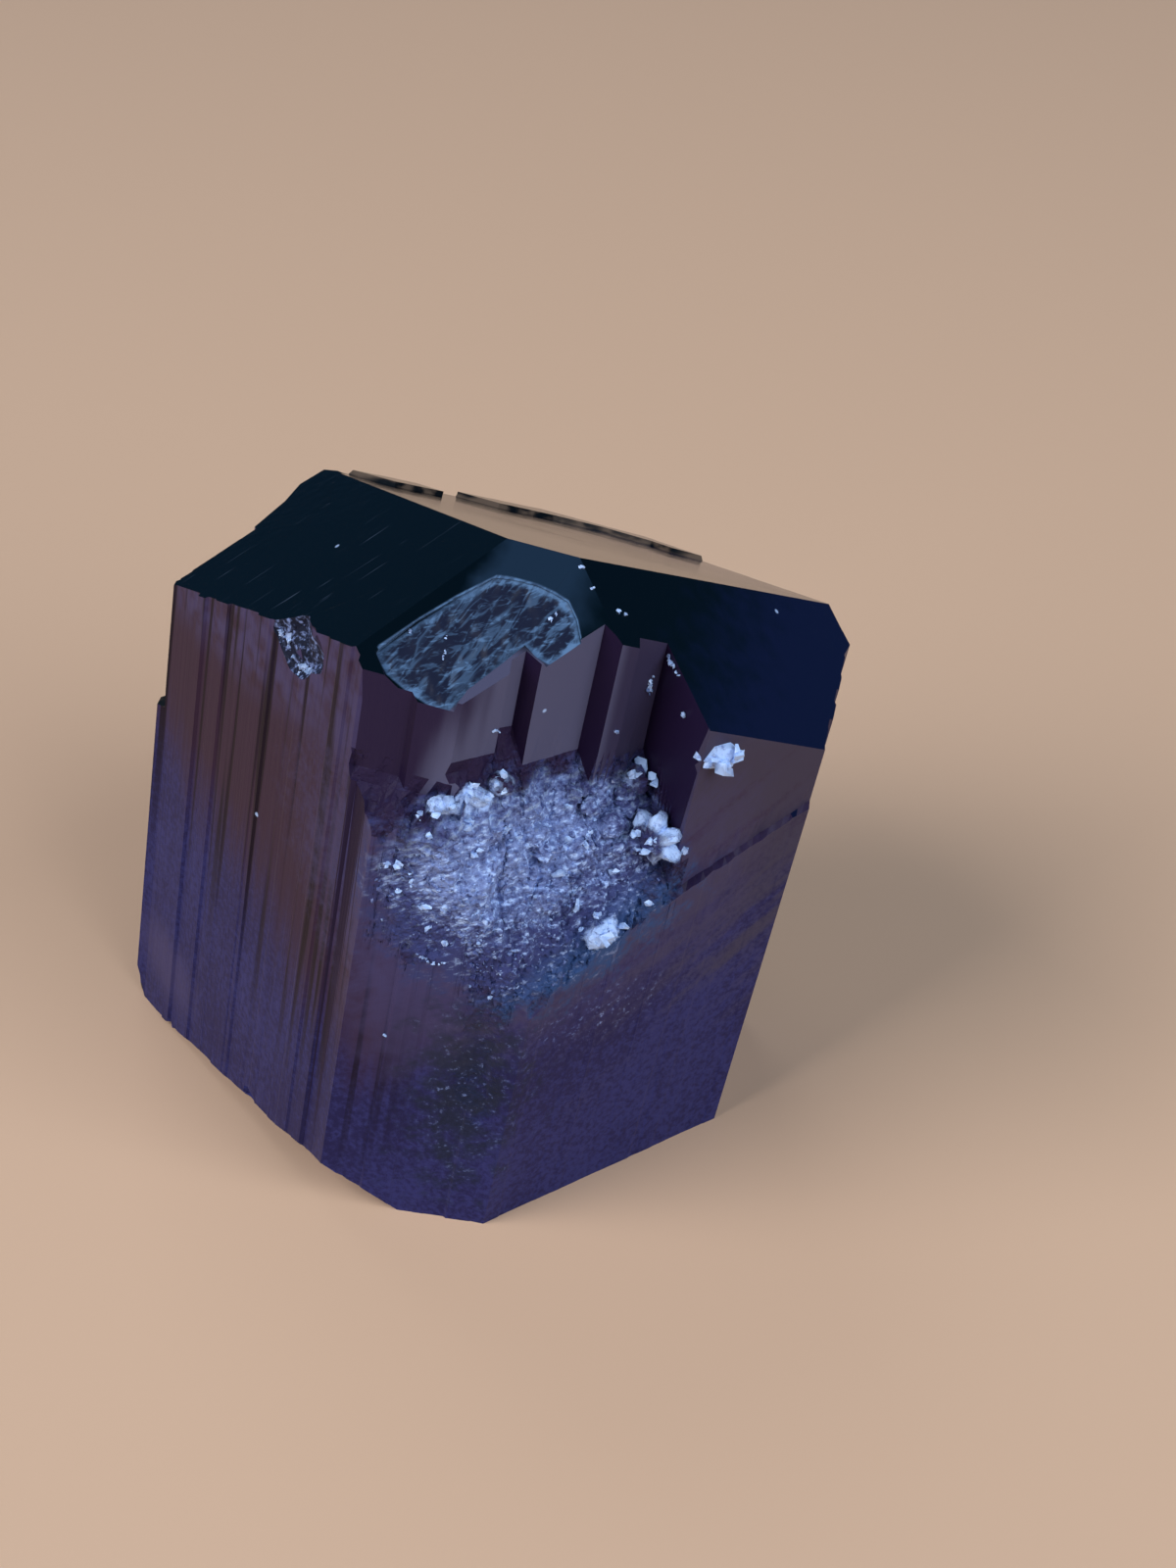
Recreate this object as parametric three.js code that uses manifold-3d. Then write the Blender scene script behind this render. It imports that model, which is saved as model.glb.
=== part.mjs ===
// A stubby scapolite crystal, broken off at its foot and standing on the break.
// Millimetres, +Z up, the photographed side towards -Y.
// The crystal is shaped about its own long axis, with its front face towards -Y, and then leaned.

import * as THREE from "three";
import { mergeVertices } from "three/addons/utils/BufferGeometryUtils.js";
import Module from "manifold-3d";

const wasm = await Module();
wasm.setup();

// Prism faces: the bearing of each, how far it stands from the long axis, and the depth of its
// growth striations, which are shallow upright steps.
const PRISM_FACES = [
  { bearing: -90, reach: 9.95 },
  { bearing: -45, reach: 10.0, striaDepth: 0.03 },
  { bearing: 0, reach: 10.8 },
  { bearing: 45, reach: 9.45 },
  { bearing: 90, reach: 10.3 },
  { bearing: 135, reach: 7.85 },
  { bearing: 180, reach: 11.1 },
  { bearing: 225, reach: 8.1 },
];

// Growth striations: the usual width, depth and lip of a step.
const STRIA_WIDTH = 0.62;
const STRIA_DEPTH = 0.13;
const STRIA_LIP = 0.05;

// A low rib grown onto the back left face.
const RIB = { bearing: 135, left: 1.1, right: 6.3, reach: 8.9 };

// Pyramid facets: bearing, slope from level, and the height at which each crosses the long axis.
const LEFT_FACET = { bearing: 180, slope: 36.4, height: 24.9 };
const RIGHT_FACET = { bearing: 0, slope: 33.6, height: 26.55 };
const FRONT_FACET = { bearing: -90, slope: 32.8, height: 27.95 };
const BACK_FACET = { bearing: 90, slope: 31.6, height: 22.2 };

// Growth terraces: how far the back facet's rim stands proud, and how far the left facet's corner
// lies low.
const BACK_TERRACE = 0.17;
const LEFT_TERRACE = 0.2;

// The stance: a turn about the long axis, a lean to the right, and a tip towards the front.
const TURN = -12.8;
const LEAN = 10.6;
const TIP = 7.4;

// The uncut prism runs from below the break at the foot to above the tip.
const BLANK_BOTTOM = -12;
const BLANK_TOP = 34;

// The splits: slabs lost along the cleavage. Each has an upright wall, given in steps along its
// bearing, and a rough foot that falls away outwards.
const FRONT_RIGHT_SPLIT = {
  bearing: -45,
  from: -8.4,
  to: 0.45,
  outer: 11.2,
  cells: [22, 40, 6],
  walls: [
    { from: -9, out: 6.55 },
    { from: -4.6, out: 6.25 },
    { from: -3.9, out: 6.8 },
    { from: -1.7, out: 7.5 },
    { from: -0.7, out: 7.15 },
  ],
  foot: (along, out) => 18.9 - (1.2 - 0.24 * Math.min(0, along)) * (out - 6.8),
  rough: 0.36,
};
const FRONT_SPLIT = {
  bearing: -90,
  from: -4.2,
  to: 0.9,
  outer: 10.8,
  cells: [8, 22, 5],
  walls: [
    { from: -5, out: 8.75 },
    { from: -1.1, out: 8.95 },
  ],
  foot: (along, out) => 18.7 - 1.2 * (out - 8.8),
  rough: 0.4,
};
const SIDE_SPLIT = {
  bearing: -45,
  from: 0.2,
  to: 6.2,
  outer: 11,
  cells: [4, 24, 4],
  walls: [{ from: 0, out: 9.8 }],
  foot: (along, out) => 14.9 + 0.45 * along - 0.5 * (out - 9.8),
  rough: 0.16,
};
const CORNER_SPLIT = {
  bearing: 180,
  from: -3,
  to: 3,
  outer: 12.6,
  cells: [4, 6, 4],
  walls: [{ from: -4, out: 10.8 }],
  foot: (along, out) => 11.8 - 0.4 * (out - 10.8),
  rough: 0.12,
};

const RADIANS = Math.PI / 180;

// A repeatable number from 0 to 1 for each whole-number lattice point.
function lattice(i, j, k) {
  const mixed = Math.sin(i * 127.1 + j * 311.7 + k * 74.7) * 43758.5453;
  return mixed - Math.floor(mixed);
}

// Smooth noise from -1 to 1 between the lattice points.
function noise(x, y, z) {
  const cell = [x, y, z].map(Math.floor);
  const ease = [x, y, z].map((value, axis) => {
    const part = value - cell[axis];
    return part * part * (3 - 2 * part);
  });
  let sum = 0;
  for (let corner = 0; corner < 8; corner++) {
    const step = [corner & 1, (corner >> 1) & 1, corner >> 2];
    const weight = step.reduce((w, on, axis) => w * (on ? ease[axis] : 1 - ease[axis]), 1);
    sum += weight * lattice(cell[0] + step[0], cell[1] + step[1], cell[2] + step[2]);
  }
  return 2 * sum - 1;
}

// Coarse lumps with finer ones on top.
function rubble(x, y, z) {
  return 0.6 * noise(x, y, z) + 0.4 * noise(2.3 * x, 2.3 * y, 2.3 * z);
}

function solid(geometry) {
  const bare = geometry.clone();
  bare.deleteAttribute("normal");
  bare.deleteAttribute("uv");
  const merged = mergeVertices(bare, 1e-4);
  const vertProperties = new Float32Array(merged.attributes.position.array);
  const triVerts = new Uint32Array(merged.index.array);
  return new wasm.Manifold(new wasm.Mesh({ numProp: 3, vertProperties, triVerts }));
}

function geometryOf(body) {
  const mesh = body.getMesh();
  const geometry = new THREE.BufferGeometry();
  geometry.setAttribute("position", new THREE.BufferAttribute(mesh.vertProperties, 3));
  geometry.setIndex(new THREE.BufferAttribute(mesh.triVerts, 1));
  return geometry;
}

// Moves every vertex of a geometry by a rule.
function reshape(geometry, rule) {
  const position = geometry.attributes.position;
  const point = new THREE.Vector3();
  for (let i = 0; i < position.count; i++) {
    point.fromBufferAttribute(position, i);
    rule(point);
    position.setXYZ(i, point.x, point.y, point.z);
  }
  return geometry;
}

// A point given along a face and out from the long axis, for a bearing.
function onBearing(bearing, along, out, z) {
  const c = Math.cos(bearing * RADIANS);
  const s = Math.sin(bearing * RADIANS);
  return new THREE.Vector3(out * c - along * s, out * s + along * c, z);
}

// The corner between two neighbouring prism faces.
function cornerOf(face, next) {
  const turn = (next.bearing - face.bearing) * RADIANS;
  const along = (next.reach - face.reach * Math.cos(turn)) / Math.sin(turn);
  return onBearing(face.bearing, along, face.reach, 0);
}

// The prism's outline, with a run of shallow steps along each face.
function prismOutline() {
  const count = PRISM_FACES.length;
  const corners = PRISM_FACES.map((face, i) => cornerOf(face, PRISM_FACES[(i + 1) % count]));
  const points = [];
  PRISM_FACES.forEach((face, i) => {
    const start = corners[(i + count - 1) % count];
    const end = corners[i];
    const length = start.distanceTo(end);
    const steps = Math.floor(length / STRIA_WIDTH);
    const depth = face.striaDepth ?? STRIA_DEPTH;
    const inward = onBearing(face.bearing, 0, -1, 0);
    const place = (share, sunk) => start.clone().lerp(end, share).addScaledVector(inward, sunk);
    points.push(start);
    for (let step = 1; step < steps; step++) {
      const share = (step + 0.7 * (lattice(i, step, 1) - 0.5)) / steps;
      const lip = STRIA_LIP / length;
      points.push(place(share - lip, depth * lattice(i, step - 1, 2)));
      points.push(place(share + lip, depth * lattice(i, step, 2)));
    }
  });
  return points;
}

function upright(points) {
  const shape = new THREE.Shape(points.map((point) => new THREE.Vector2(point.x, point.y)));
  const depth = BLANK_TOP - BLANK_BOTTOM;
  const geometry = new THREE.ExtrudeGeometry(shape, { depth, bevelEnabled: false });
  return solid(geometry.translate(0, 0, BLANK_BOTTOM));
}

// The rib's outline: a steep side, a narrow crest and a long slope, rooted inside the prism.
function ribOutline() {
  const { bearing, left, right, reach } = RIB;
  return [
    onBearing(bearing, left, 5, 0),
    onBearing(bearing, left + 0.1, reach - 1.2, 0),
    onBearing(bearing, left + 0.7, reach - 1.1, 0),
    onBearing(bearing, left + 0.8, reach - 0.1, 0),
    onBearing(bearing, left + 1.6, reach, 0),
    onBearing(bearing, left + 2.4, reach - 0.5, 0),
    onBearing(bearing, left + 3.7, reach - 0.9, 0),
    onBearing(bearing, left + 3.8, reach - 1.2, 0),
    onBearing(bearing, right, reach - 1.6, 0),
    onBearing(bearing, right, 5, 0),
  ];
}

// Lays a geometry that is drawn flat onto a facet: x downslope, y across, z out of the facet.
function ontoFacet(geometry, facet) {
  geometry.rotateY(facet.slope * RADIANS);
  geometry.rotateZ(facet.bearing * RADIANS);
  return geometry.translate(0, 0, facet.height);
}

// Everything above a facet, from a given lift over it.
function above(facet, lift) {
  const block = new THREE.BoxGeometry(80, 80, 40).translate(0, 0, 20 + lift);
  return solid(ontoFacet(block, facet));
}

// A flat-bottomed cut into a facet, outlined in x downslope and y across.
function sheet(facet, outline, bottom) {
  const shape = new THREE.Shape(outline.map(([x, y]) => new THREE.Vector2(x, y)));
  const geometry = new THREE.ExtrudeGeometry(shape, { depth: 5, bevelEnabled: false });
  return solid(ontoFacet(geometry.translate(0, 0, bottom), facet));
}

// A lump or a scoop: a many-sided ball, pressed out of true, stretched and turned.
function lump({ centre, radii, turn = [0, 0, 0], detail = 1, uneven = 0.25 }) {
  const geometry = new THREE.IcosahedronGeometry(1, detail);
  const seed = centre[0] + 2 * centre[1] + 3 * centre[2];
  reshape(geometry, (p) => {
    p.multiplyScalar(1 + uneven * noise(2.1 * p.x + seed, 2.1 * p.y, 2.1 * p.z));
  });
  geometry.scale(...radii);
  geometry.rotateX(turn[0] * RADIANS);
  geometry.rotateY(turn[1] * RADIANS);
  geometry.rotateZ(turn[2] * RADIANS);
  return geometry.translate(...centre);
}

// A point over the rough foot of a split, from 0 on the foot to 1 past the tip.
function overFoot(split, along, out, rise) {
  const foot = split.foot(along, out);
  const fade = Math.max(0, 1 - 5 * rise);
  const bumps = fade * split.rough * rubble(1.7 * along, 1.7 * out, 1.7 * foot);
  const z = THREE.MathUtils.lerp(foot, BLANK_TOP, rise ** 2) + bumps;
  return onBearing(split.bearing, along, out + bumps, z);
}

// The slab that a split took away.
function slab(split) {
  const geometry = new THREE.BoxGeometry(1, 1, 1, ...split.cells);
  reshape(geometry, (p) => {
    const along = THREE.MathUtils.lerp(split.from, split.to, p.y + 0.5);
    const wall = split.walls.filter((step) => along >= step.from).pop().out;
    const out = THREE.MathUtils.lerp(wall, split.outer, p.x + 0.5);
    p.copy(overFoot(split, along, out, p.z + 0.5));
  });
  return solid(geometry);
}

let body = upright(prismOutline()).add(upright(ribOutline()));

body = body.subtract(above(LEFT_FACET, 0));
body = body.subtract(above(RIGHT_FACET, 0));
body = body.subtract(above(FRONT_FACET, 0));
body = body.subtract(above(BACK_FACET, BACK_TERRACE));

// The back facet lies inside its proud rim.
const backFloor = [
  [-9, 12],
  [5.2, 7.5],
  [5.0, 5.0],
  [6.6, 3.6],
  [7.6, 5.2],
  [8.8, 3.6],
  [8.6, 1.9],
  [10.2, 0.1],
  [10.9, -1.6],
  [10.3, -3.4],
  [9.4, -4.2],
  [9.2, -9.5],
  [-9, -16],
];
body = body.subtract(sheet(BACK_FACET, backFloor, 0));

// The left facet's far corner lies a step lower.
const leftCorner = [
  [8.2, -6],
  [8.4, -3.2],
  [8.1, -1.6],
  [9.0, -0.3],
  [10.2, 0.2],
  [18, 0.4],
  [18, -9],
];
body = body.subtract(sheet(LEFT_FACET, leftCorner, -LEFT_TERRACE));

for (const split of [FRONT_RIGHT_SPLIT, FRONT_SPLIT, SIDE_SPLIT, CORNER_SPLIT]) {
  body = body.subtract(slab(split));
}

// A shallow shell-shaped chip across the front facet. Its floor dips towards the prism.
const CHIP_FLOOR = { bearing: -90, slope: 35.9, height: 28.31 };
const chipOutline = [
  [10.0, -2.5],
  [10.6, -2.05],
  [10.9, -1.4],
  [11.2, -0.67],
  [11.4, 0],
  [10.4, 0.33],
  [9.42, 1.02],
  [8.65, 1.53],
  [8.88, 1.88],
  [9.1, 2.35],
  [8.7, 2.72],
  [8.12, 3.05],
  [7.49, 2.74],
  [7.04, 2.37],
  [6.9, 1.87],
  [6.8, 1.37],
  [6.82, 0.62],
  [6.9, 0.18],
  [7.75, -0.71],
  [8.8, -1.65],
];
body = body.subtract(sheet(CHIP_FLOOR, chipOutline, 0));

// Bruises on the front face, a nick under the left facet, and chips round the foot.
const SCOOPS = [
  { centre: [0.5, -10.45, 15.2], radii: [2.3, 0.75, 3.6], detail: 7, uneven: 0.16 },
  { centre: [3.0, -10.5, 9.0], radii: [1.4, 0.75, 4.4], detail: 6, uneven: 0.16 },
  { centre: [-5.5, -6.3, 20.5], radii: [1.5, 0.75, 1.3], turn: [0, 0, -45], detail: 4 },
  { centre: [-5.1, -6.4, 0.5], radii: [0.5, 0.4, 0.35], turn: [0, 0, -45], detail: 2 },
  { centre: [-13.2, -1.1, -3.0], radii: [2.65, 2.65, 5.0], detail: 5, uneven: 0.1 },
  { centre: [6.9, -8.4, 0.9], radii: [0.9, 0.7, 1.0], detail: 2 },
  { centre: [8.8, -6.4, 1.6], radii: [0.8, 0.6, 0.9], detail: 2 },
  { centre: [-9.3, -2.5, -2.4], radii: [0.9, 0.8, 1.0], detail: 2 },
];
for (const scoop of SCOOPS) {
  body = body.subtract(solid(lump(scoop)));
}

// The larger grains that stand out of the breaks.
const GRAINS = [
  { centre: [6.5, -6.45, 17.1], radii: [0.95, 0.5, 0.32], turn: [0, 20, -30] },
  { centre: [6.5, -6.45, 17.1], radii: [0.9, 0.5, 0.3], turn: [0, 80, -30] },
  { centre: [6.5, -6.45, 17.1], radii: [0.9, 0.5, 0.3], turn: [0, 140, -30] },
  { centre: [7.5, -6.1, 20.55], radii: [0.75, 0.55, 0.6], detail: 0 },
  { centre: [0.45, -9.0, 18.4], radii: [0.75, 0.32, 0.26], turn: [0, 8, 32] },
  { centre: [1.1, -8.6, 18.65], radii: [0.5, 0.3, 0.3], turn: [0, 30, 20] },
  { centre: [1.75, -8.1, 18.95], radii: [0.45, 0.35, 0.42] },
  { centre: [5.7, -8.25, 14.3], radii: [0.6, 0.4, 0.4], turn: [0, -30, 40], detail: 0 },
  { centre: [5.4, -5.35, 18.15], radii: [0.55, 0.45, 0.5], detail: 0 },
];

// Smaller grains strewn over the foot of the front right split.
for (let i = 0; i < 18; i++) {
  const along = -4.6 + 4.8 * lattice(i, 4, 7);
  const out = 7.2 + 1.6 * lattice(i, 5, 11);
  const centre = overFoot(FRONT_RIGHT_SPLIT, along, out, 0).toArray();
  const size = 0.22 + 0.2 * lattice(i, 8, 2);
  const stretch = [1, 1, 1].map((one, axis) => size * (one + 0.7 * lattice(i, axis, 23)));
  const turn = [40, 70, 110].map((angle, axis) => angle * lattice(i, axis, 31));
  GRAINS.push({ centre, radii: stretch, turn, detail: 0 });
}
for (const grain of GRAINS) {
  body = body.add(solid(lump(grain)));
}

const stance = new THREE.Matrix4().makeRotationFromEuler(
  new THREE.Euler(TIP * RADIANS, LEAN * RADIANS, TURN * RADIANS),
);
const leaned = solid(geometryOf(body).applyMatrix4(stance));
const ground = solid(new THREE.BoxGeometry(90, 90, 40).translate(0, 0, -20));

let standing = leaned.subtract(ground);

// The front left corner of the foot has broken away on a slant, through these three places.
const breakPlane = new THREE.Plane().setFromCoplanarPoints(
  new THREE.Vector3(-9.21, -0.75, 0.35),
  new THREE.Vector3(-5.73, -5.89, 1.21),
  new THREE.Vector3(-2.22, -9.84, 1.18),
);
const slant = new THREE.BoxGeometry(36, 36, 8, 26, 26, 1).translate(0, 0, -4);
reshape(slant, (p) => {
  if (p.z > -1) p.z += 0.14 * rubble(0.9 * p.x, 0.9 * p.y, 1.3);
});
slant.applyQuaternion(
  new THREE.Quaternion().setFromUnitVectors(new THREE.Vector3(0, 0, 1), breakPlane.normal),
);
const breakMiddle = breakPlane.projectPoint(new THREE.Vector3(-6, -6, 0.5), new THREE.Vector3());
slant.translate(breakMiddle.x, breakMiddle.y, breakMiddle.z);
standing = standing.subtract(solid(slant));

// Shallow dishes in the break at the foot, between the flats that it stands on.
const DISHES = [
  { centre: [-3.6, 3.4, -3.7], radii: [9, 7, 4], detail: 8, uneven: 0.06 },
  { centre: [5.6, 4.4, -3.7], radii: [8, 6, 4], detail: 8, uneven: 0.06 },
  { centre: [4.2, -5.4, -3.75], radii: [7, 5, 4], detail: 8, uneven: 0.06 },
];
for (const dish of DISHES) {
  standing = standing.subtract(solid(lump(dish)));
}

const geometry = geometryOf(standing);
geometry.computeBoundingBox();
const middle = geometry.boundingBox.getCenter(new THREE.Vector3());
geometry.translate(-middle.x, -middle.y, 0);
geometry.computeVertexNormals();

const violet = new THREE.MeshStandardMaterial({ color: 0x2c2440, roughness: 0.25, metalness: 0 });
const crystal = new THREE.Mesh(geometry, violet);
crystal.name = "crystal";

const part = new THREE.Group();
part.add(crystal);
export default part;
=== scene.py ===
import math
import random

import bmesh
import bpy
from mathutils import Matrix, Vector, noise


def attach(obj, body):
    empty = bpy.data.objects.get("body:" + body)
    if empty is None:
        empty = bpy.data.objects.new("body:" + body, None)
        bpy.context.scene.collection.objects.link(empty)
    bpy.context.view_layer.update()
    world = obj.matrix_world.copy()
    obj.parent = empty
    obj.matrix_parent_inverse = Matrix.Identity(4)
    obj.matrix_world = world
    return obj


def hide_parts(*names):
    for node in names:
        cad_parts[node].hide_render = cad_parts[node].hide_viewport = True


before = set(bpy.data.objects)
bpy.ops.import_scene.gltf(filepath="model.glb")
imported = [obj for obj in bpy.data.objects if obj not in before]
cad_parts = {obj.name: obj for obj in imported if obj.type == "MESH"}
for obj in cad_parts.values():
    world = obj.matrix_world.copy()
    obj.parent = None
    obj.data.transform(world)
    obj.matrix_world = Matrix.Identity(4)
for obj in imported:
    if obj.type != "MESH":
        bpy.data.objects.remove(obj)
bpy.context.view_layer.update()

# The crystal: one piece of dark violet scapolite, a striated prism under a low pyramid.
# It grew as a single body. Slabs have split off its front along the cleavage and left a sugary
# scar, a shell-shaped chip is gone from its front facet, and it stands on the break at its foot.
MM = 0.001
LEAN_X, LEAN_Y, TURN_Z = math.radians(7.4), math.radians(10.6), math.radians(-12.8)
STANCE = (
    Matrix.Rotation(LEAN_X, 3, "X")
    @ Matrix.Rotation(LEAN_Y, 3, "Y")
    @ Matrix.Rotation(TURN_Z, 3, "Z")
)
UPRIGHTED = STANCE.transposed()
AXIS_FOOT = Vector((-1.738, 0.849, 0.0))
FACETS = (
    ("left", 36.4, (-1, 0)), ("right", 33.6, (1, 0)),
    ("front", 32.8, (0, -1)), ("back", 31.6, (0, 1)),
)
facets = {}
for side, slope, (way_x, way_y) in FACETS:
    lean = math.sin(math.radians(slope))
    facets[side] = Vector((way_x * lean, way_y * lean, math.cos(math.radians(slope))))


def about_axis(place):
    """A place on the piece, in millimetres about the crystal's own long axis."""
    return UPRIGHTED @ (place / MM - AXIS_FOOT)


CHIP_OUTLINE = [
    (-2.50, -8.10), (-2.05, -8.50), (-1.40, -8.75), (-0.67, -8.95), (-0.06, -9.00),
    (0.33, -8.43), (1.02, -7.63), (1.53, -7.00), (1.88, -7.18), (2.35, -7.27),
    (2.70, -7.00), (3.03, -6.58), (2.74, -6.07), (2.37, -5.70), (1.87, -5.58),
    (1.37, -5.50), (0.62, -5.50), (0.18, -5.55), (-0.71, -6.28), (-1.59, -7.12),
]


def chip_depth(spot):
    """How far inside the chip's outline a spot lies, in millimetres, below zero outside it."""
    inside = False
    nearest = 9.0
    for (ax, ay), (bx, by) in zip(CHIP_OUTLINE, CHIP_OUTLINE[1:] + CHIP_OUTLINE[:1]):
        side_x, side_y = bx - ax, by - ay
        away_x, away_y = spot.x - ax, spot.y - ay
        if (ay > spot.y) != (by > spot.y) and spot.x < ax + away_y / side_y * side_x:
            inside = not inside
        run = (away_x * side_x + away_y * side_y) / (side_x**2 + side_y**2)
        run = max(0, min(1, run))
        nearest = min(nearest, math.hypot(away_x - run * side_x, away_y - run * side_y))
    return nearest if inside else -nearest


SCAR_MIDDLE = (2.9, 15.4)
SCAR_REACH = (4.8, 3.8)


def beyond_scar(spot):
    """0 in the middle of the oval scar on the front, 1 at its edge and more outside it."""
    return math.hypot(
        (spot.x - SCAR_MIDDLE[0]) / SCAR_REACH[0], (spot.z - SCAR_MIDDLE[1]) / SCAR_REACH[1]
    )


# Where each kind of surface lies on the crystal, in millimetres about its axis.
PRISM, WALL, STEP, CROWN, TERRACE, FRONT, SCAR, BRUISE, FOOT = range(9)
FOOT_TOP = 2.6
FRONT_APEX, FRONT_BOTTOM, FRONT_RIGHT, CHIP_SUNK = 27.95, 21, 4.5, 0.7
FRONT_FACE, RIGHT_FACE, SLAB = 9.95, 10.0, 0.35
RECESS_LEFT, RECESS_RIGHT, RECESS_BACK, RECESS_BOTTOM = -2.6, 7.2, -3, 12
SCAR_BACK, SCAR_LUMP_AREA = -5, 0.25
TERRACE_FRONT = -2
LEDGE_LEFT, LEDGE_TOP = 7.3, 19
BRUISE_LEFT, BRUISE_RIGHT, BRUISE_BOTTOM, BRUISE_TOP = -2, 4.5, 10.8, 19.2


def zone_of(face):
    """Which kind of surface a face belongs to."""
    middle = face.calc_center_median()
    normal = UPRIGHTED @ face.normal
    spot = about_axis(middle)
    upright = abs(normal.z) < 0.03
    sunk = FRONT_APEX * facets["front"].z - spot.dot(facets["front"])
    if middle.z / MM < FOOT_TOP and abs(normal.z) > 0.06:
        return FOOT
    near_front = spot.z > FRONT_BOTTOM and spot.x < FRONT_RIGHT and sunk < CHIP_SUNK
    if near_front and not (upright and normal.y < -0.5) and (
        normal.angle(facets["front"]) < math.radians(42) or chip_depth(spot) > -0.05
    ):
        return FRONT
    if (
        face.calc_area() < SCAR_LUMP_AREA * MM**2
        and beyond_scar(spot) < 1
        and spot.y < SCAR_BACK
    ):
        return SCAR
    if upright:
        inset = min(FRONT_FACE + spot.y, RIGHT_FACE - (spot.x - spot.y) * math.sqrt(0.5))
        in_recess = RECESS_LEFT < spot.x < RECESS_RIGHT and spot.y < RECESS_BACK
        if inset > SLAB and in_recess and spot.z > RECESS_BOTTOM:
            return STEP if normal.x < -0.3 else WALL
        return PRISM
    if any(normal.angle(facet) < math.radians(3) for facet in facets.values()):
        return CROWN
    if spot.y > TERRACE_FRONT:
        return TERRACE
    if spot.x > LEDGE_LEFT and spot.z < LEDGE_TOP:
        return STEP if normal.z > 0.35 else PRISM
    return SCAR


shape = bmesh.new()
shape.from_mesh(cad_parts["crystal"].data)
bmesh.ops.remove_doubles(shape, verts=shape.verts, dist=0.0002 * MM)
shape.normal_update()
zone = shape.faces.layers.int.new("zone")
for face in shape.faces:
    face[zone] = zone_of(face)

# The strips of the front face beside the scar are cut off above and below, to be bruised.
front_strips = [
    face for face in shape.faces
    if face[zone] == PRISM
    and (UPRIGHTED @ face.normal).y < -0.6
    and BRUISE_LEFT < about_axis(face.calc_center_median()).x < BRUISE_RIGHT
]
for level in (BRUISE_BOTTOM, BRUISE_TOP):
    strips = [face for face in front_strips if face.is_valid]
    cut = bmesh.ops.bisect_plane(
        shape,
        geom=strips + list({edge for face in strips for edge in face.edges})
        + list({vert for face in strips for vert in face.verts}),
        plane_co=(STANCE @ Vector((0, 0, level)) + AXIS_FOOT) * MM,
        plane_no=STANCE @ Vector((0, 0, 1)),
    )
    front_strips = list(set(front_strips) | {
        piece for piece in cut["geom"] if isinstance(piece, bmesh.types.BMFace)
    })
for face in front_strips:
    if (
        face.is_valid
        and BRUISE_BOTTOM < about_axis(face.calc_center_median()).z < BRUISE_TOP
    ):
        face[zone] = BRUISE
bmesh.ops.triangulate(shape, faces=[face for face in shape.faces if len(face.verts) > 3])

SLIVER_WIDTH = 0.003
LONGEST_EDGE = {
    PRISM: 30, WALL: 30, STEP: 30, CROWN: 30, TERRACE: 30,
    FRONT: 0.12, SCAR: 0.09, BRUISE: 0.13, FOOT: 0.8,
}
REFINING_PASSES = 20
bmesh.ops.remove_doubles(shape, verts=shape.verts, dist=0.002 * MM)
shape.normal_update()


def narrow(face):
    """Whether a face is a sliver."""
    longest_edge = max(edge.calc_length() for edge in face.edges)
    return 2 * face.calc_area() < SLIVER_WIDTH * MM * longest_edge


level_edges = [
    edge for edge in shape.edges
    if edge.link_faces[0][zone] == edge.link_faces[1][zone]
    and (
        edge.calc_face_angle(0.0) < math.radians(0.5)
        or any(narrow(face) for face in edge.link_faces)
    )
]
bmesh.ops.beautify_fill(shape, faces=shape.faces[:], edges=level_edges, method="ANGLE")
# Edges that are too long for their zone are halved, the longest side of a face always first, so
# that the mesh stays closed and its faces keep a good shape.
for _ in range(REFINING_PASSES):
    shape.edges.index_update()
    lengths = [edge.calc_length() / MM for edge in shape.edges]
    halved = set()
    for edge in shape.edges:
        if lengths[edge.index] > min(LONGEST_EDGE[face[zone]] for face in edge.link_faces):
            longest = None
            while longest != edge:
                longest = edge
                sides = {side for face in longest.link_faces for side in face.edges}
                edge = max(sides, key=lambda side: (lengths[side.index], side.index))
            halved.add(edge.index)
    if not halved:
        break
    shape.edges.ensure_lookup_table()
    bmesh.ops.subdivide_edges(
        shape, edges=[shape.edges[index] for index in sorted(halved)], cuts=1, use_single_edge=True
    )
shape.normal_update()

WHITE_GRAINS = [
    ((6.5, -6.45, 17.1), (0.49, -0.28, -0.20), 0.42),
    ((6.5, -6.45, 17.1), (0.08, -0.05, -0.55), 0.40),
    ((6.5, -6.45, 17.1), (-0.40, 0.23, -0.36), 0.40),
    ((7.5, -6.1, 20.55), (0.20, 0.0, 0.0), 0.66),
    ((0.45, -9.0, 18.4), (0.42, 0.26, -0.07), 0.36),
    ((1.1, -8.6, 18.65), (0.24, 0.09, -0.15), 0.36),
    ((1.75, -8.1, 18.95), (0.0, 0.0, 0.0), 0.42),
    ((5.7, -8.25, 14.3), (0.20, 0.16, 0.14), 0.42),
    ((5.4, -5.35, 18.15), (0.0, 0.0, 0.0), 0.46),
]
WHITE_RIM = 0.12
SUGAR_PER_MM = 4.4
SHELL_START = Vector((3.4, -5.2, 24.4))


def whiteness_of(spot):
    """1 on one of the large white grains of the scar, given by middle, half length and radius."""
    most = 0.0
    for middle, arm, radius in WHITE_GRAINS:
        away = spot - Vector(middle)
        arm = Vector(arm)
        if arm.length:
            away -= arm * max(-1.0, min(1.0, away.dot(arm) / arm.length_squared))
        most = max(most, (radius - away.length) / WHITE_RIM)
    return max(0.0, min(1.0, most))


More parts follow.
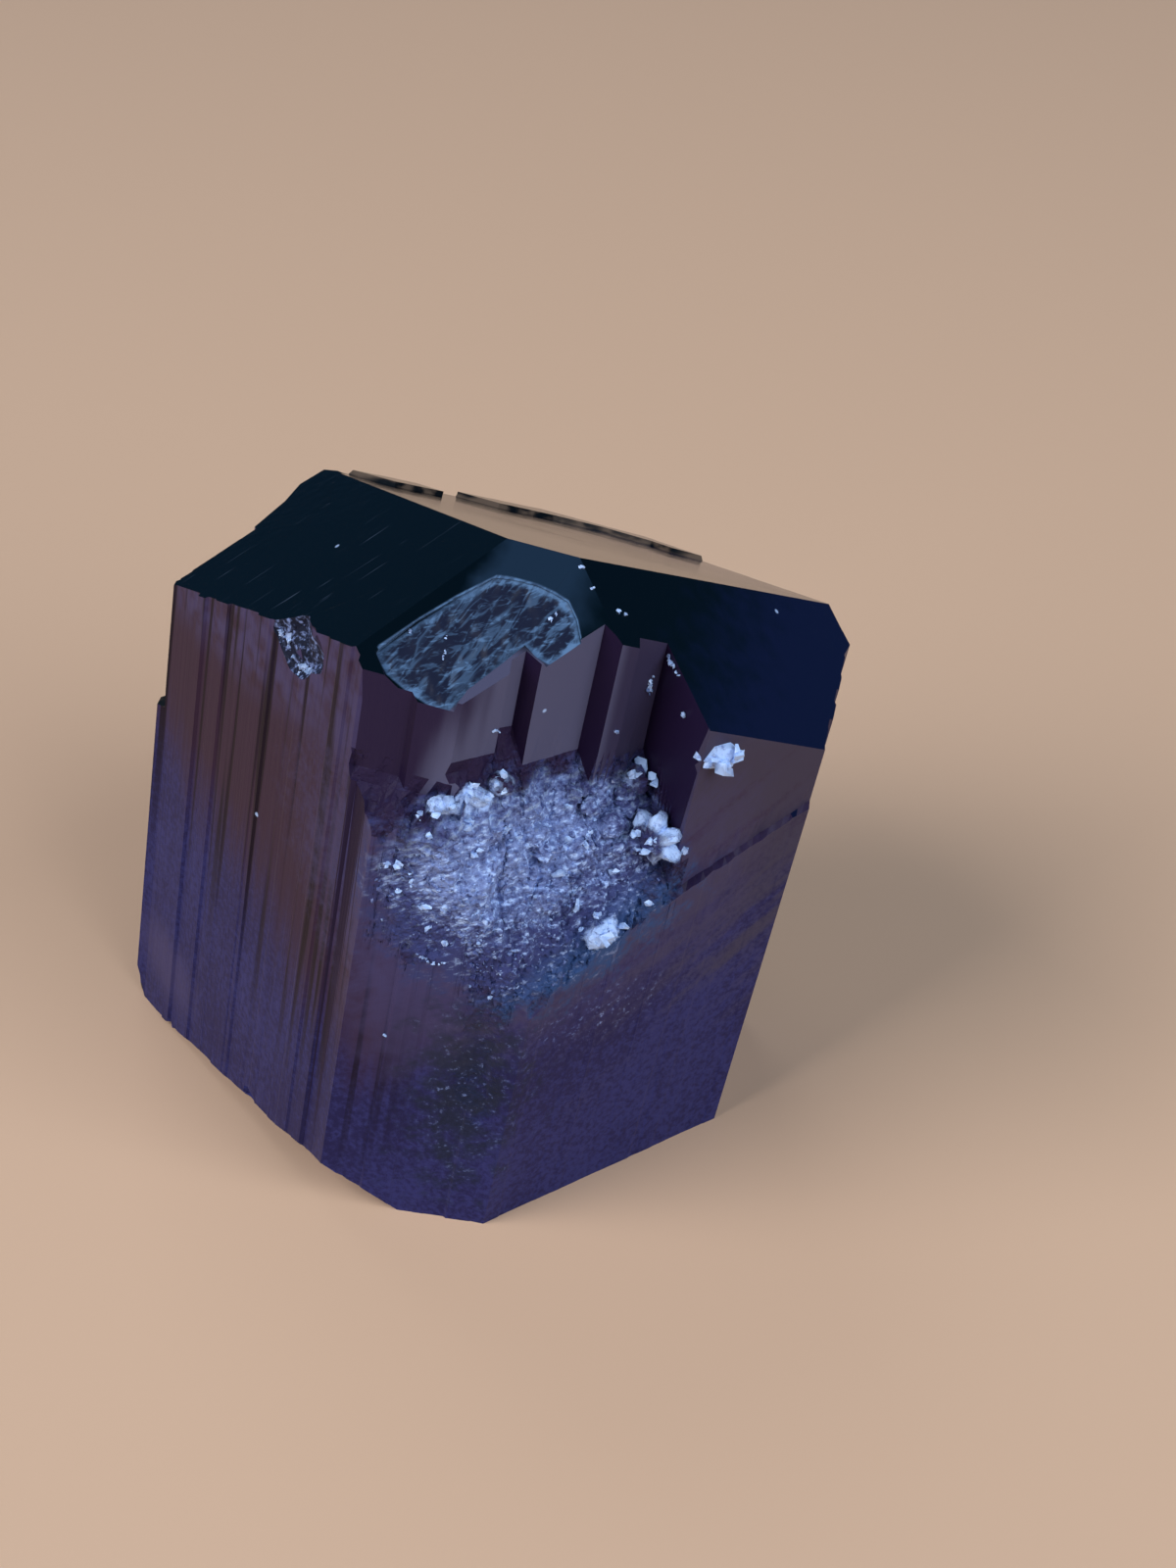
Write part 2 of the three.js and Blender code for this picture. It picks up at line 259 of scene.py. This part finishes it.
def sugar(spot):
    """How far the scar stands out at a spot: small blocky grains, each tilted its own way."""
    nearest = noise.voronoi(spot * SUGAR_PER_MM)[1][0]
    way = noise.cell_vector(nearest * 31.0) - Vector((0.5, 0.5, 0.5))
    block = 0.07 * way.x + 0.6 * (spot - nearest / SUGAR_PER_MM).dot(way)
    return block + 0.03 * noise.noise(spot * 10.0)


def shell(spot):
    """How far the chip stands out at a spot: curved ripples and lifted scales."""
    reach = (spot - SHELL_START).length
    ripple = 0.015 * math.sin(reach * 7.0 + 2.0 * noise.noise(spot * 0.9))
    distances, middles = noise.voronoi(Vector((spot.x * 2.2, spot.y, spot.z)))
    scale = noise.cell_vector(middles[0] * 17.0)
    return ripple + 0.06 * (scale.x - 0.5) * min(1.0, 3 * (distances[1] - distances[0]))


# The scar gets its sugar, the chip its ripples and the foot its roughness as real relief.
depths = {}
moved = []
for vert in shape.verts:
    kinds = {face[zone] for face in vert.link_faces}
    spot = about_axis(vert.co)
    hold = 1.0 if len(kinds) == 1 else 0.35
    if FRONT in kinds:
        depths[vert.index] = chip_depth(spot)
    if SCAR in kinds:
        fade = max(0.25, min(1, (1.25 - beyond_scar(spot)) / 0.3))
        fade = fade * (1 - 0.6 * whiteness_of(spot))
        moved.append((vert, vert.normal * hold * fade * sugar(spot) * MM))
    elif BRUISE in kinds:
        fade = max(0, min(1, (1.05 - beyond_scar(spot) + 0.2 * noise.noise(spot)) / 0.35))
        moved.append((vert, vert.normal * 0.7 * fade * (sugar(spot) - 0.03) * MM))
    elif FRONT in kinds and depths[vert.index] > 0 and len(kinds) == 1:
        moved.append((vert, vert.normal * min(1, depths[vert.index] / 0.2) * shell(spot) * MM))
    elif kinds == {FOOT} and vert.co.z > 0.05 * MM:
        moved.append((vert, vert.normal * 0.12 * noise.noise(spot * 2.0) * MM))
for vert, shift in moved:
    vert.co += shift
for face in shape.faces:
    face.smooth = face[zone] == FRONT and all(depths[vert.index] > 0 for vert in face.verts)

crystal_mesh = bpy.data.meshes.new("crystal_body")
shape.to_mesh(crystal_mesh)
shape.free()
kinds = [entry.value for entry in crystal_mesh.attributes["zone"].data]
for name, kind in (
    ("wall", WALL), ("step", STEP), ("crown", CROWN), ("terrace", TERRACE), ("front", FRONT),
    ("scar", SCAR), ("foot", FOOT),
):
    share = crystal_mesh.attributes.new(name, "FLOAT", "FACE")
    share.data.foreach_set("value", [float(found == kind) for found in kinds])
white = crystal_mesh.attributes.new("white", "FLOAT", "FACE")
for polygon in crystal_mesh.polygons:
    if kinds[polygon.index] == SCAR:
        white.data[polygon.index].value = whiteness_of(about_axis(polygon.center))
depth_mark = crystal_mesh.attributes.new("chip_depth", "FLOAT", "POINT")
for index in range(len(crystal_mesh.vertices)):
    depth_mark.data[index].value = depths.get(index, -1.0)
crystal = bpy.data.objects.new("crystal_body", crystal_mesh)
bpy.context.scene.collection.objects.link(crystal)


class Wire:
    """A shader socket that takes part in Python sums."""

    def __init__(self, tree, socket=None):
        self.tree = tree
        self.socket = socket

    def make(self, kind, settings=None, sockets=None, output=0):
        """Adds a node, sets it up, joins its sockets and gives one of its outputs."""
        made = self.tree.nodes.new(kind)
        for name, value in (settings or {}).items():
            setattr(made, name, value)
        for name, value in (sockets or {}).items():
            if isinstance(value, Wire):
                self.tree.links.new(value.socket, made.inputs[name])
            else:
                made.inputs[name].default_value = value
        return Wire(self.tree, made.outputs[output] if made.outputs else None)

    def sum_of(self, operation, first, second):
        return self.make("ShaderNodeMath", {"operation": operation}, {0: first, 1: second})

    def __add__(self, other):
        return self.sum_of("ADD", self, other)

    __radd__ = __add__

    def __sub__(self, other):
        return self.sum_of("SUBTRACT", self, other)

    def __rsub__(self, other):
        return self.sum_of("SUBTRACT", other, self)

    def __mul__(self, other):
        return self.sum_of("MULTIPLY", self, other)

    __rmul__ = __mul__

    def between(self, low, high):
        """0 at low, 1 at high, and smooth in between."""
        return self.make(
            "ShaderNodeMapRange",
            {"interpolation_type": "SMOOTHSTEP"},
            {"Value": self, "From Min": low, "From Max": high},
        )

    def tint(self, first, second):
        """The first colour at 0 and the second at 1."""
        return self.make("ShaderNodeMix", {"data_type": "RGBA"}, {0: self, 6: first, 7: second}, 2)


scapolite = bpy.data.materials.new("violet_scapolite")
scapolite.use_nodes = True
scapolite.node_tree.nodes.clear()
start = Wire(scapolite.node_tree)
place = start.make(
    "ShaderNodeMapping",
    {},
    {
        "Vector": start.make("ShaderNodeTexCoord", output="Object"),
        "Scale": (1 / MM, 1 / MM, 1 / MM),
        "Rotation": (-LEAN_X, -LEAN_Y, -TURN_Z),
        "Location": UPRIGHTED @ -AXIS_FOOT,
    },
)
across = start.make("ShaderNodeSeparateXYZ", {}, {"Vector": place}, "X")
behind = start.make("ShaderNodeSeparateXYZ", {}, {"Vector": place}, "Y")
height = start.make("ShaderNodeSeparateXYZ", {}, {"Vector": place}, "Z")
wall, step, crown, terrace, front, scar, foot, whiteness, inside_chip = (
    start.make("ShaderNodeAttribute", {"attribute_name": name}, {}, "Fac")
    for name in (
        "wall", "step", "crown", "terrace", "front", "scar", "foot", "white", "chip_depth"
    )
)


def mottle(size, detail=2.0, rough=0.5, turn=(0, 0, 0), bent=0.0):
    """Noise whose blotches have a size in millimetres along the crystal's axes, turned in degrees
    and more or less bent."""
    stretched = start.make(
        "ShaderNodeMapping",
        {"vector_type": "TEXTURE"},
        {"Vector": place, "Rotation": [math.radians(angle) for angle in turn], "Scale": size},
    )
    return start.make(
        "ShaderNodeTexNoise",
        {},
        {
            "Vector": stretched,
            "Scale": 1.0,
            "Detail": detail,
            "Roughness": rough,
            "Distortion": bent,
        },
        "Fac",
    )


def patch(middle, reach):
    """0 in the middle of an oval patch of the front, 1 at its edge and more outside it."""
    away = start.make(
        "ShaderNodeVectorMath", {"operation": "SUBTRACT"}, {0: place, 1: (middle[0], 0, middle[1])}
    )
    away = start.make(
        "ShaderNodeVectorMath",
        {"operation": "MULTIPLY"},
        {0: away, 1: (1 / reach[0], 0, 1 / reach[1])},
    )
    return start.make("ShaderNodeVectorMath", {"operation": "LENGTH"}, {0: away}, "Value")


def specks(apart, size, share):
    """Small round dots, as far apart as given in millimetres, in a share of the cells."""
    cells = {"Vector": place, "Scale": 1 / apart}
    near = start.make("ShaderNodeTexVoronoi", {}, cells, "Distance")
    lot = start.make("ShaderNodeTexVoronoi", {}, cells, "Color")
    lot = start.make("ShaderNodeSeparateColor", {}, {"Color": lot}, "Red")
    dot = 1 - near.between(0.6 * size / apart, size / apart)
    return dot * lot.between(1 - share, 1 - share + 0.02)


FLOOR_REFLECTION_MAROON = (0.037, 0.018, 0.040, 1)
VIOLET = (0.0165, 0.0155, 0.076, 1)
BLUE_VIOLET = (0.031, 0.034, 0.145, 1)
DARK_LINE = (0.006, 0.003, 0.010, 1)
LAVENDER = (0.060, 0.052, 0.140, 1)
MAUVE = (0.055, 0.047, 0.080, 1)
WALL_GREY = (0.088, 0.090, 0.165, 1)
WALL_DARK = (0.022, 0.014, 0.045, 1)
STEP_SHADE = (0.013, 0.007, 0.030, 1)
NIGHT = (0.0008, 0.0042, 0.0080, 1)
NIGHT_BLUE = (0.0045, 0.0080, 0.0360, 1)
OVERHEAD_SHEEN_BLUE = (0.010, 0.024, 0.048, 1)
TERRACE_REFLECTION_BROWN = (0.11, 0.080, 0.062, 1)
TEAL = (0.011, 0.019, 0.028, 1)
FROST_DEEP = (0.043, 0.052, 0.160, 1)
FROST = (0.215, 0.295, 0.580, 1)
FROST_TEAL = (0.035, 0.075, 0.200, 1)
SUGAR_WHITE = (0.44, 0.61, 0.95, 1)
CHIP_DARK = (0.010, 0.014, 0.034, 1)
CHIP_LINE = (0.095, 0.185, 0.340, 1)

# The prism: blue violet below and a painted maroon reflection of the warm floor above, with
# dark lines along its ribs on the left, a painted lavender sheen under the crown, and slanting
# dusty bands on the right.
streaks = mottle((0.35, 0.35, 25), 3.0, 0.65)
cloud = mottle((5, 5, 6), 3.0)
fine = mottle((0.2, 0.2, 0.2), 3.0, 0.7)
coarse = mottle((0.7, 0.7, 0.7), 2.0)
sandy = mottle((0.55, 0.16, 0.16), 3.0, 0.65, (0, -36, 0))
on_left = 1 - across.between(-1.0, 3.0)
# Painted reflection: the upper prism, reaching lower on the left, takes the maroon of the warm
# floor it mirrors, with streaks along its edge.
reflection_level = height - across * 0.3 + on_left * (across + 8.0) * 0.6
warm = reflection_level + (cloud - 0.5) * 7.0 + (streaks - 0.5) * (1.5 + on_left * 2.5)
warm = warm.between(9.5, 15.5)
body = (fine * 0.9 + cloud * 0.5 - 0.2).between(0.36, 0.66).tint(VIOLET, BLUE_VIOLET)
body = warm.tint(body, FLOOR_REFLECTION_MAROON)
# Painted sheen: lavender under the crown and a lavender glow in the lower left corner.
lavender_sheen = (height - across * 0.22 + cloud * 2.0).between(18.8, 20.8)
body = (lavender_sheen * coarse.between(0.25, 0.65) * 0.8).tint(body, LAVENDER)
left_corner_sheen = 1 - patch((-9.6, 1.0), (2.2, 2.2)).between(0.2, 1.0)
body = (left_corner_sheen * 0.7).tint(body, LAVENDER)
dark_lines = 1 - mottle((0.42, 0.42, 22), 2.0).between(0.39, 0.48)
lined = on_left * (1 - behind.between(0, 3)) * reflection_level.between(5, 14)
body = (dark_lines * lined * 0.9).tint(body, DARK_LINE)
lit_wall = (across * 0.2 + mottle((1.2, 1.2, 6), 2.0)).between(0.35, 0.75)
lit_wall = lit_wall * (1 - across.between(4.1, 4.5) * 0.75)
wall_colour = lit_wall.tint(WALL_DARK, WALL_GREY)
body = wall.tint(body, wall_colour)
# Painted shade: the step faces, the side walls of the splits and the ledge on the right, are
# darkened, less so towards the right.
body = (step * (1 - across.between(7.2, 9.5) * 0.75)).tint(body, STEP_SHADE)
bands = mottle((6.0, 1.0, 1.0), 3.0, 0.6, (0, -35, 45)) * 0.7 + fine * 0.3
dusty = (bands + (height - 12.0) * 0.025).between(0.42, 0.64) * (1 - on_left)
body = (dusty * (1 - wall) * (1 - step) * 0.85).tint(body, MAUVE)
body = (specks(1.6, 0.09, 0.3) * 0.5).tint(body, LAVENDER)
body = (specks(2.9, 0.11, 0.35) * 0.8).tint(body, SUGAR_WHITE)

# The scar: frost with a bright heart and a ragged edge, a dark tail below it and flecks beside it.
ragged = patch(SCAR_MIDDLE, SCAR_REACH) + (coarse - 0.5) * 0.7 + (sandy - 0.5) * 0.8
in_front = 1 - behind.between(-4.8, -4.0)
frost = (1 - ragged.between(0.70, 1.12)) * (1 - wall) * (1 - step) * in_front
heart = 1 - (patch((2.4, 16.6), (4.4, 2.8)) + (coarse - 0.5) * 0.8).between(0.3, 1.2)
bright = (heart * 0.75 + (sandy - 0.5) * 2.2 + (fine - 0.5) * 1.2).between(0.0, 1.0)
frost_colour = (across - height + 9.5).between(-0.5, 1.5).tint(FROST_DEEP, FROST_TEAL)
frost_colour = bright.tint(frost_colour, FROST)
frost_colour = (sandy.between(0.53, 0.66) * bright).tint(frost_colour, SUGAR_WHITE)
tail = patch((2.7, 7.6), (1.8, 4.6)) + (coarse - 0.5) * 2.6 + (sandy - 0.5) * 1.5
tail = (1 - tail.between(0.1, 1.4)) * in_front
halo = (1 - ragged.between(1.0, 1.8)) * (1 - wall) * (1 - step) * in_front
beside_tail = 1 - (patch((0.4, 10.6), (2.4, 3.6)) + (coarse - 0.5) * 0.8).between(0.3, 1.2)
broken = (beside_tail * in_front * 0.6).tint(body, LAVENDER)
broken = (halo * (0.45 + on_left * 0.3)).tint(broken, LAVENDER)
broken = (scar * height.between(11.5, 13.0)).tint(broken, WALL_DARK)
broken = (tail * 0.7).tint(broken, TEAL)
flecked = 1 - patch((6.2, 10.8), (2.4, 1.6)).between(0.3, 1.0)
flecked = (flecked * in_front * 0.8 + tail * 0.6) * fine.between(0.55, 0.68)
broken = (flecked * sandy.between(0.45, 0.60)).tint(broken, FROST)
broken = frost.tint(broken, frost_colour)
broken = whiteness.tint(broken, fine.between(0.30, 0.52).tint(FROST, SUGAR_WHITE))
nick = 1 - patch((-5.4, 19.9), (1.6, 1.4)).between(0.8, 1.0)
broken = (nick * scar).tint(broken, fine.between(0.48, 0.68).tint(CHIP_DARK, FROST))

# The front facet: a pale rim and fine slits in the chip, and a painted dim blue sheen above it.
chip = front * inside_chip.between(-0.03, 0.03)
rim = 1 - (inside_chip + (fine - 0.5) * 0.3).between(0.0, 0.24)
long_slits = mottle((1.1, 0.30, 0.30), 3.0, 0.6, (0, -29, 62), 0.8).between(0.47, 0.64)
short_slits = mottle((0.5, 0.16, 0.16), 2.0, 0.6, (0, -20, 20), 1.0).between(0.50, 0.68)
chip_line = rim * 0.7 + long_slits * 0.6 + short_slits * 0.5
chip_line = chip_line * (0.85 + across.between(1.2, 3.0) * 0.4)
chip_colour = chip_line.between(0.0, 1.25).tint(CHIP_DARK, CHIP_LINE)
# Painted reflection: a dim blue sheen where the front facet mirrors the room overhead, fading out
# to the right; the rest of the facet is painted near black as painted shade.
overhead_sheen = (across - behind * 0.35 + coarse * 0.6).between(1.7, 2.3) * behind.between(-6.8, -6.2)
overhead_sheen = overhead_sheen * (1 - (across + coarse).between(2.6, 4.0))
front_colour = overhead_sheen.tint(NIGHT, OVERHEAD_SHEEN_BLUE)
under_chip = (1 - behind.between(-7.5, -7.0)) * across.between(-0.8, -0.4)
front_colour = (under_chip * 0.75).tint(front_colour, WALL_GREY)
front_colour = chip.tint(front_colour, chip_colour)

# The other facets of the crown: painted shade, almost black, bluer to the right, with a few
# scratches.
# Painted shade and glow: the crown is painted almost black where it mirrors the dim room, and
# bluer to the right and lower down as a painted glow from within.
night = (across * 0.3 - height * 0.4 + coarse * 2.0).between(-6.8, -4.4).tint(NIGHT, NIGHT_BLUE)
scratches = mottle((2.2, 0.10, 0.10), 1.0, 0.4, (0, -28, 43), 0.6).between(0.70, 0.84)
night = (scratches * (1 - across.between(0, 3)) * 0.12).tint(night, SUGAR_WHITE)
night = (specks(1.7, 0.10, 0.35) * 0.7).tint(night, SUGAR_WHITE)

colour = crown.tint(broken, night)
# Painted reflection: the back terrace takes the tan of the floor behind that it mirrors, in
# patches between near-black painted shade.
layers = mottle((1.6, 0.5, 0.5)).between(0.40, 0.60).tint(NIGHT, TERRACE_REFLECTION_BROWN)
colour = terrace.tint(colour, layers)
colour = front.tint(colour, front_colour)
colour = foot.tint(colour, BLUE_VIOLET)

gloss = 0.40 - crown * 0.26 - front * 0.20 + chip * 0.12 + scar * 0.1 + foot * 0.3 + frost * 0.1
plain = (1 - crown) * (1 - scar) * (1 - front) * (1 - frost)
ridges = mottle((0.14, 0.14, 8.0)) * plain * (0.05 + on_left * 0.35)
growth_lines = mottle((4.0, 0.3, 0.3), 2.0) * crown * behind.between(-1, 2)
relief = start.make(
    "ShaderNodeBump",
    {},
    {"Height": ridges + fine * scar + growth_lines, "Distance": 0.05 * MM, "Strength": 0.6},
    "Normal",
)
surface = start.make(
    "ShaderNodeBsdfPrincipled",
    {},
    {
        "Base Color": colour,
        "Roughness": gloss,
        "IOR": 1.55,
        "Specular IOR Level": 0.08,
        "Coat Weight": crown * 0.25,
        "Normal": relief,
    },
)
start.make("ShaderNodeOutputMaterial", {}, {"Surface": surface})
crystal_mesh.materials.append(scapolite)
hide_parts("crystal")
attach(crystal, "root")

# The grains: crushed scapolite, pale because it is full of cracks. They cling to the scar and to
# the broken edges, some as flakes of three grains, some along seams and the rest as a fine sugar.
# Places, sizes and seam ends are in millimetres about the crystal's axis.
FLAKES = [
    ((7.4, -6.5, 16.9), 0.20), ((5.6, -5.2, 18.5), 0.35), ((5.4, -5.7, 18.6), 0.30),
    ((5.9, -5.5, 18.5), 0.32), ((7.5, -6.6, 20.7), 0.45), ((7.8, -6.5, 20.4), 0.45),
    ((8.1, -6.2, 20.8), 0.45), ((0.2, -9.4, 18.5), 0.35), ((0.5, -9.2, 18.6), 0.35),
    ((0.8, -8.9, 18.8), 0.30), ((1.0, -8.6, 19.1), 0.32), ((1.7, -8.3, 19.3), 0.38),
    ((1.9, -8.4, 19.0), 0.26), ((1.5, -8.6, 18.7), 0.26), ((-0.2, -9.4, 18.1), 0.24),
    ((0.1, -9.6, 17.6), 0.22), ((1.2, -9.0, 17.9), 0.28), ((-0.6, -9.85, 16.4), 0.24),
    ((-1.0, -9.9, 16.3), 0.20), ((-0.5, -9.8, 15.3), 0.18), ((0.4, -9.75, 14.9), 0.26),
    ((0.6, -9.75, 14.1), 0.18), ((1.2, -9.8, 13.7), 0.16), ((1.5, -9.1, 17.0), 0.24),
    ((2.5, -8.3, 17.2), 0.24), ((2.2, -8.5, 17.6), 0.22), ((4.0, -7.4, 16.8), 0.28),
    ((4.5, -7.0, 17.0), 0.22), ((4.5, -7.3, 16.8), 0.20), ((4.0, -8.1, 16.1), 0.26),
    ((5.5, -6.95, 15.8), 0.24), ((3.7, -7.0, 17.8), 0.18), ((4.5, -6.5, 17.2), 0.20),
    ((4.7, -8.1, 15.0), 0.24), ((5.3, -8.0, 14.8), 0.26), ((5.0, -8.2, 14.3), 0.18),
    ((5.7, -8.5, 14.5), 0.42), ((6.2, -7.75, 14.4), 0.24), ((6.8, -7.2, 15.1), 0.26),
    ((2.9, -9.9, 12.1), 0.16), ((-0.1, -9.9, 9.2), 0.14), ((5.9, -6.7, 17.3), 0.26),
    ((6.2, -7.0, 16.9), 0.26), ((6.4, -6.9, 17.4), 0.30), ((6.4, -5.8, 21.4), 0.18),
    ((4.6, -6.0, 20.3), 0.16), ((1.3, -8.0, 20.8), 0.16),
    ((-5.7, -5.4, 19.9), 0.26), ((-5.0, -6.0, 19.6), 0.26), ((-6.0, -5.2, 19.9), 0.22),
    ((-4.7, -6.4, 19.7), 0.22), ((2.05, -6.22, 23.81), 0.12), ((2.10, -6.05, 23.93), 0.09),
    ((-1.71, -7.37, 22.97), 0.14), ((2.43, -4.79, 24.90), 0.14), ((3.79, -5.26, 24.03), 0.16),
    ((4.00, -5.16, 23.90), 0.12), ((2.91, -5.26, 24.60), 0.11),
]
SEAMS = [
    ((5.45, -4.85, 22.62), (6.30, -5.50, 22.22), 0.17, 16),
    ((5.20, -4.90, 21.95), (5.20, -4.95, 21.15), 0.17, 12),
    ((-0.72, -7.20, 23.10), (-0.60, -7.85, 22.63), 0.08, 10),
    ((0.50, -9.92, 13.05), (0.90, -9.92, 12.85), 0.11, 7),
    ((0.90, -9.92, 12.85), (1.40, -9.92, 13.00), 0.11, 7),
    ((-0.20, -9.85, 16.20), (-0.10, -9.85, 15.60), 0.12, 7),
    ((-5.90, -5.25, 20.10), (-5.00, -6.10, 19.20), 0.12, 12),
]
GRAINS_IN_FLAKE = 3
SUGAR_TRIES = 1600
SUGAR_EDGE = 0.72
SUGAR_SIZES = (0.07, 0.09, 0.11, 0.13, 0.22)
GRAIN_DARK = (0.07, 0.10, 0.27, 1)
GRAIN_PALE = (0.42, 0.60, 0.95, 1)
chance = random.Random(11)
grains_shape = bmesh.new()
paleness = grains_shape.faces.layers.float.new("pale")


def add_grain(spot, size, pale):
    """One angular grain, longer than it is wide, turned at random and more or less pale."""
    angle = chance.uniform(0, 6.28)
    spindle = Vector((chance.uniform(-1, 1), chance.uniform(-1, 1), 1))
    turn = Matrix.Rotation(angle, 4, spindle)
    squash = Matrix.Diagonal((1.0, chance.uniform(0.45, 0.8), chance.uniform(0.4, 0.7), 1.0))
    centre = Matrix.Translation((STANCE @ Vector(spot) + AXIS_FOOT) * MM)
    made = bmesh.ops.create_icosphere(
        grains_shape, subdivisions=1, radius=0.5 * size * MM, matrix=centre @ turn @ squash
    )
    for vert in made["verts"]:
        vert.co += Vector([chance.uniform(-0.16, 0.16) * size * MM for _ in range(3)])
        for face in vert.link_faces:
            face[paleness] = pale


for spot, size in FLAKES:
    for _ in range(GRAINS_IN_FLAKE):
        offset = Vector([chance.uniform(-0.4, 0.4) * size for _ in range(3)])
        add_grain(Vector(spot) + offset, size * chance.uniform(0.8, 1.4), chance.uniform(0.5, 1.0))
for seam_start, seam_end, size, count in SEAMS:
    for _ in range(count):
        spot = Vector(seam_start).lerp(Vector(seam_end), chance.uniform(0, 1))
        offset = Vector([chance.uniform(-0.4, 0.4) * size for _ in range(3)])
        add_grain(spot + offset, size * chance.uniform(0.7, 1.4), chance.uniform(0.4, 1.0))
scar_faces = [
    polygon for polygon, kind in zip(crystal_mesh.polygons, kinds) if kind in (SCAR, BRUISE)
]
for polygon in chance.sample(scar_faces, SUGAR_TRIES):
    spot = about_axis(polygon.center)
    if beyond_scar(spot) + chance.uniform(-0.2, 0.5) < SUGAR_EDGE:
        add_grain(spot, chance.choice(SUGAR_SIZES), chance.uniform(0.0, 0.45))
grains_mesh = bpy.data.meshes.new("grains")
grains_shape.to_mesh(grains_mesh)
grains_shape.free()
grains = bpy.data.objects.new("grains", grains_mesh)
bpy.context.scene.collection.objects.link(grains)

crushed = bpy.data.materials.new("crushed_scapolite")
crushed.use_nodes = True
crushed.node_tree.nodes.clear()
start = Wire(crushed.node_tree)
cloudy = start.make(
    "ShaderNodeTexNoise",
    {},
    {
        "Vector": start.make("ShaderNodeTexCoord", output="Object"),
        "Scale": 2.2 / MM,
        "Detail": 2.0,
    },
    "Fac",
)
pale = start.make("ShaderNodeAttribute", {"attribute_name": "pale"}, {}, "Fac")
surface = start.make(
    "ShaderNodeBsdfPrincipled",
    {},
    {
        "Base Color": (pale + cloudy - 0.5).between(0.05, 0.9).tint(GRAIN_DARK, GRAIN_PALE),
        "Roughness": 0.32,
        "IOR": 1.55,
    },
)
start.make("ShaderNodeOutputMaterial", {}, {"Surface": surface})
grains_mesh.materials.append(crushed)
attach(grains, "root")

# The set: a plain, matt, warm pale floor of one square, soft square lamps at the front left and
# front right, a weak one behind, and a dim blue room. None of it belongs to the part.
FLOOR_HALF_WIDTH = 1.5
FLOOR_COLOUR = (0.67, 0.45, 0.305, 1)
floor_shape = bmesh.new()
bmesh.ops.create_grid(floor_shape, x_segments=1, y_segments=1, size=FLOOR_HALF_WIDTH)
floor_mesh = bpy.data.meshes.new("floor")
floor_shape.to_mesh(floor_mesh)
floor_shape.free()
floor = bpy.data.objects.new("floor", floor_mesh)
bpy.context.scene.collection.objects.link(floor)
pale_floor = bpy.data.materials.new("pale_floor")
pale_floor.use_nodes = True
floor_shader = pale_floor.node_tree.nodes["Principled BSDF"]
floor_shader.inputs["Base Color"].default_value = FLOOR_COLOUR
floor_shader.inputs["Roughness"].default_value = 0.7
floor_mesh.materials.append(pale_floor)


LAMP_AIM = Vector((0, 0, 0.01))
LAMP_WIDTH = 0.40


def lamp(name, spot, power, colour):
    """A square soft lamp at a spot in metres, with a power in watts, that looks at the part."""
    light = bpy.data.lights.new(name, "AREA")
    light.size = LAMP_WIDTH
    light.energy = power
    light.color = colour
    holder = bpy.data.objects.new(name, light)
    holder.location = spot
    holder.rotation_euler = (LAMP_AIM - Vector(spot)).to_track_quat("-Z", "Y").to_euler()
    bpy.context.scene.collection.objects.link(holder)


lamp("front_left", (-0.36, -0.20, 0.36), 2.5, (0.98, 0.98, 1.0))
lamp("behind", (-0.15, 0.42, 0.60), 0.6, (0.90, 0.95, 1.0))
lamp("front_right", (0.34, -0.34, 0.34), 2.6, (0.85, 0.92, 1.0))

world = bpy.data.worlds.new("room")
world.use_nodes = True
room = world.node_tree.nodes["Background"]
room.inputs["Color"].default_value = (0.20, 0.50, 1.0, 1)
room.inputs["Strength"].default_value = 0.10
bpy.context.scene.world = world
bpy.context.scene.view_settings.view_transform = "Standard"

# The camera: close and high at the front, as the photograph was taken.
eye = bpy.data.cameras.new("eye")
eye.lens = 57.76
eye.sensor_width = 36
eye.clip_start = 0.005
camera = bpy.data.objects.new("eye", eye)
camera.location = (0.00424, -0.07117, 0.05834)
camera.rotation_euler = (math.radians(56.28), math.radians(0.94), math.radians(-0.59))
bpy.context.scene.collection.objects.link(camera)
bpy.context.scene.camera = camera
